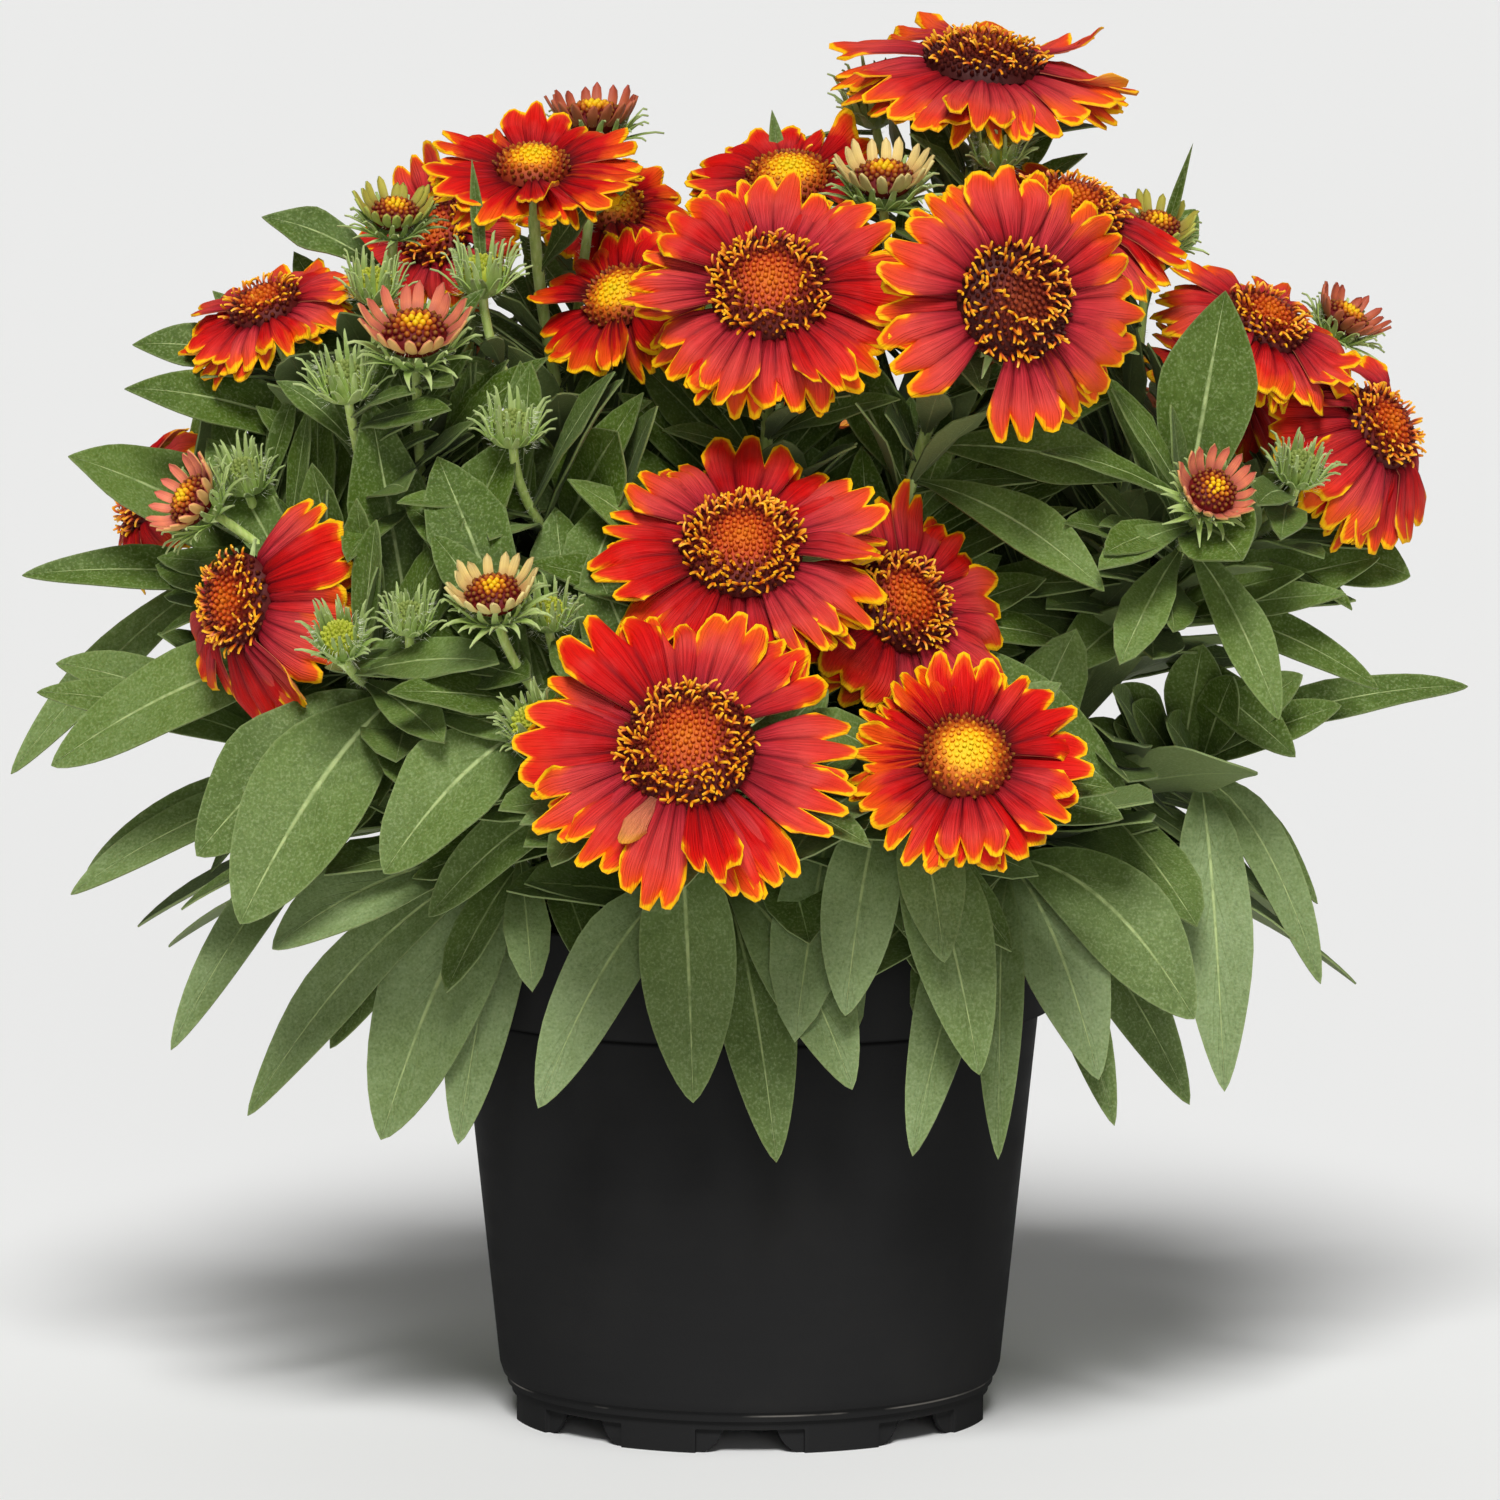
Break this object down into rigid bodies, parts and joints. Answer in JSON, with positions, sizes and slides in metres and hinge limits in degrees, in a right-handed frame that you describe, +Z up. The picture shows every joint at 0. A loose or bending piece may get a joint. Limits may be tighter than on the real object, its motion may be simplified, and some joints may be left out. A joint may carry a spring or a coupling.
{
  "type": "potted blanket flower plant",
  "caption": "Blanket flower plant with red, yellow-edged daisy blooms, buds and grey-green leaves in a round black plastic nursery pot.",
  "frame": {"origin": "middle of the pot's foot, on the surface that it stands on", "axes": "+Z up, -Y towards the plant's fullest side, +X to the right seen from that side"},
  "size_m": [0.4042, 0.3467, 0.3826],
  "materials": {
    "pot_plastic": "satin moulded plastic",
    "soil": "dark crumbly potting soil with bits of bark",
    "petals": "matt petals, scarlet with yellow toothed tips",
    "disc": "maroon florets with golden styles",
    "foliage": "matt, softly hairy leaves, stems, buds and bracts"
  },
  "bodies": {
    "root": {"pot": "pot_plastic", "soil": "soil", "stem_01": "foliage", "stem_02": "foliage", "stem_03": "foliage", "stem_04": "foliage", "stem_05": "foliage", "stem_06": "foliage", "stem_07": "foliage", "stem_08": "foliage", "stem_09": "foliage", "stem_10": "foliage", "stem_11": "foliage", "stem_12": "foliage", "stem_13": "foliage", "stem_14": "foliage", "bloom_01_rays": "petals", "bloom_01_disc": "disc", "bloom_02_rays": "petals", "bloom_02_disc": "disc", "bloom_03_rays": "petals", "bloom_03_disc": "disc", "bloom_04_rays": "petals", "bloom_04_disc": "disc", "bloom_05_rays": "petals", "bloom_05_disc": "disc", "bloom_06_rays": "petals", "bloom_06_disc": "disc", "bloom_07_rays": "petals", "bloom_07_disc": "disc", "bloom_08_rays": "petals", "bloom_08_disc": "disc", "bloom_09_rays": "petals", "bloom_09_disc": "disc", "bloom_10_rays": "petals", "bloom_10_disc": "disc", "bloom_11_rays": "petals", "bloom_11_disc": "disc", "bloom_12_rays": "petals", "bloom_12_disc": "disc", "bloom_13_rays": "petals", "bloom_13_disc": "disc", "bloom_14_rays": "petals", "bloom_14_disc": "disc", "bloom_15_rays": "petals", "bloom_15_disc": "disc", "bloom_16_rays": "petals", "bloom_16_disc": "disc", "bloom_17_rays": "petals", "bloom_17_disc": "disc", "bloom_18_rays": "petals", "bloom_18_disc": "disc", "bloom_19_rays": "petals", "bloom_19_disc": "disc", "bloom_20_rays": "petals", "bloom_20_disc": "disc", "bloom_21_rays": "petals", "bloom_21_disc": "disc", "bloom_22_rays": "petals", "bloom_22_disc": "disc"}
  },
  "joints": []
}
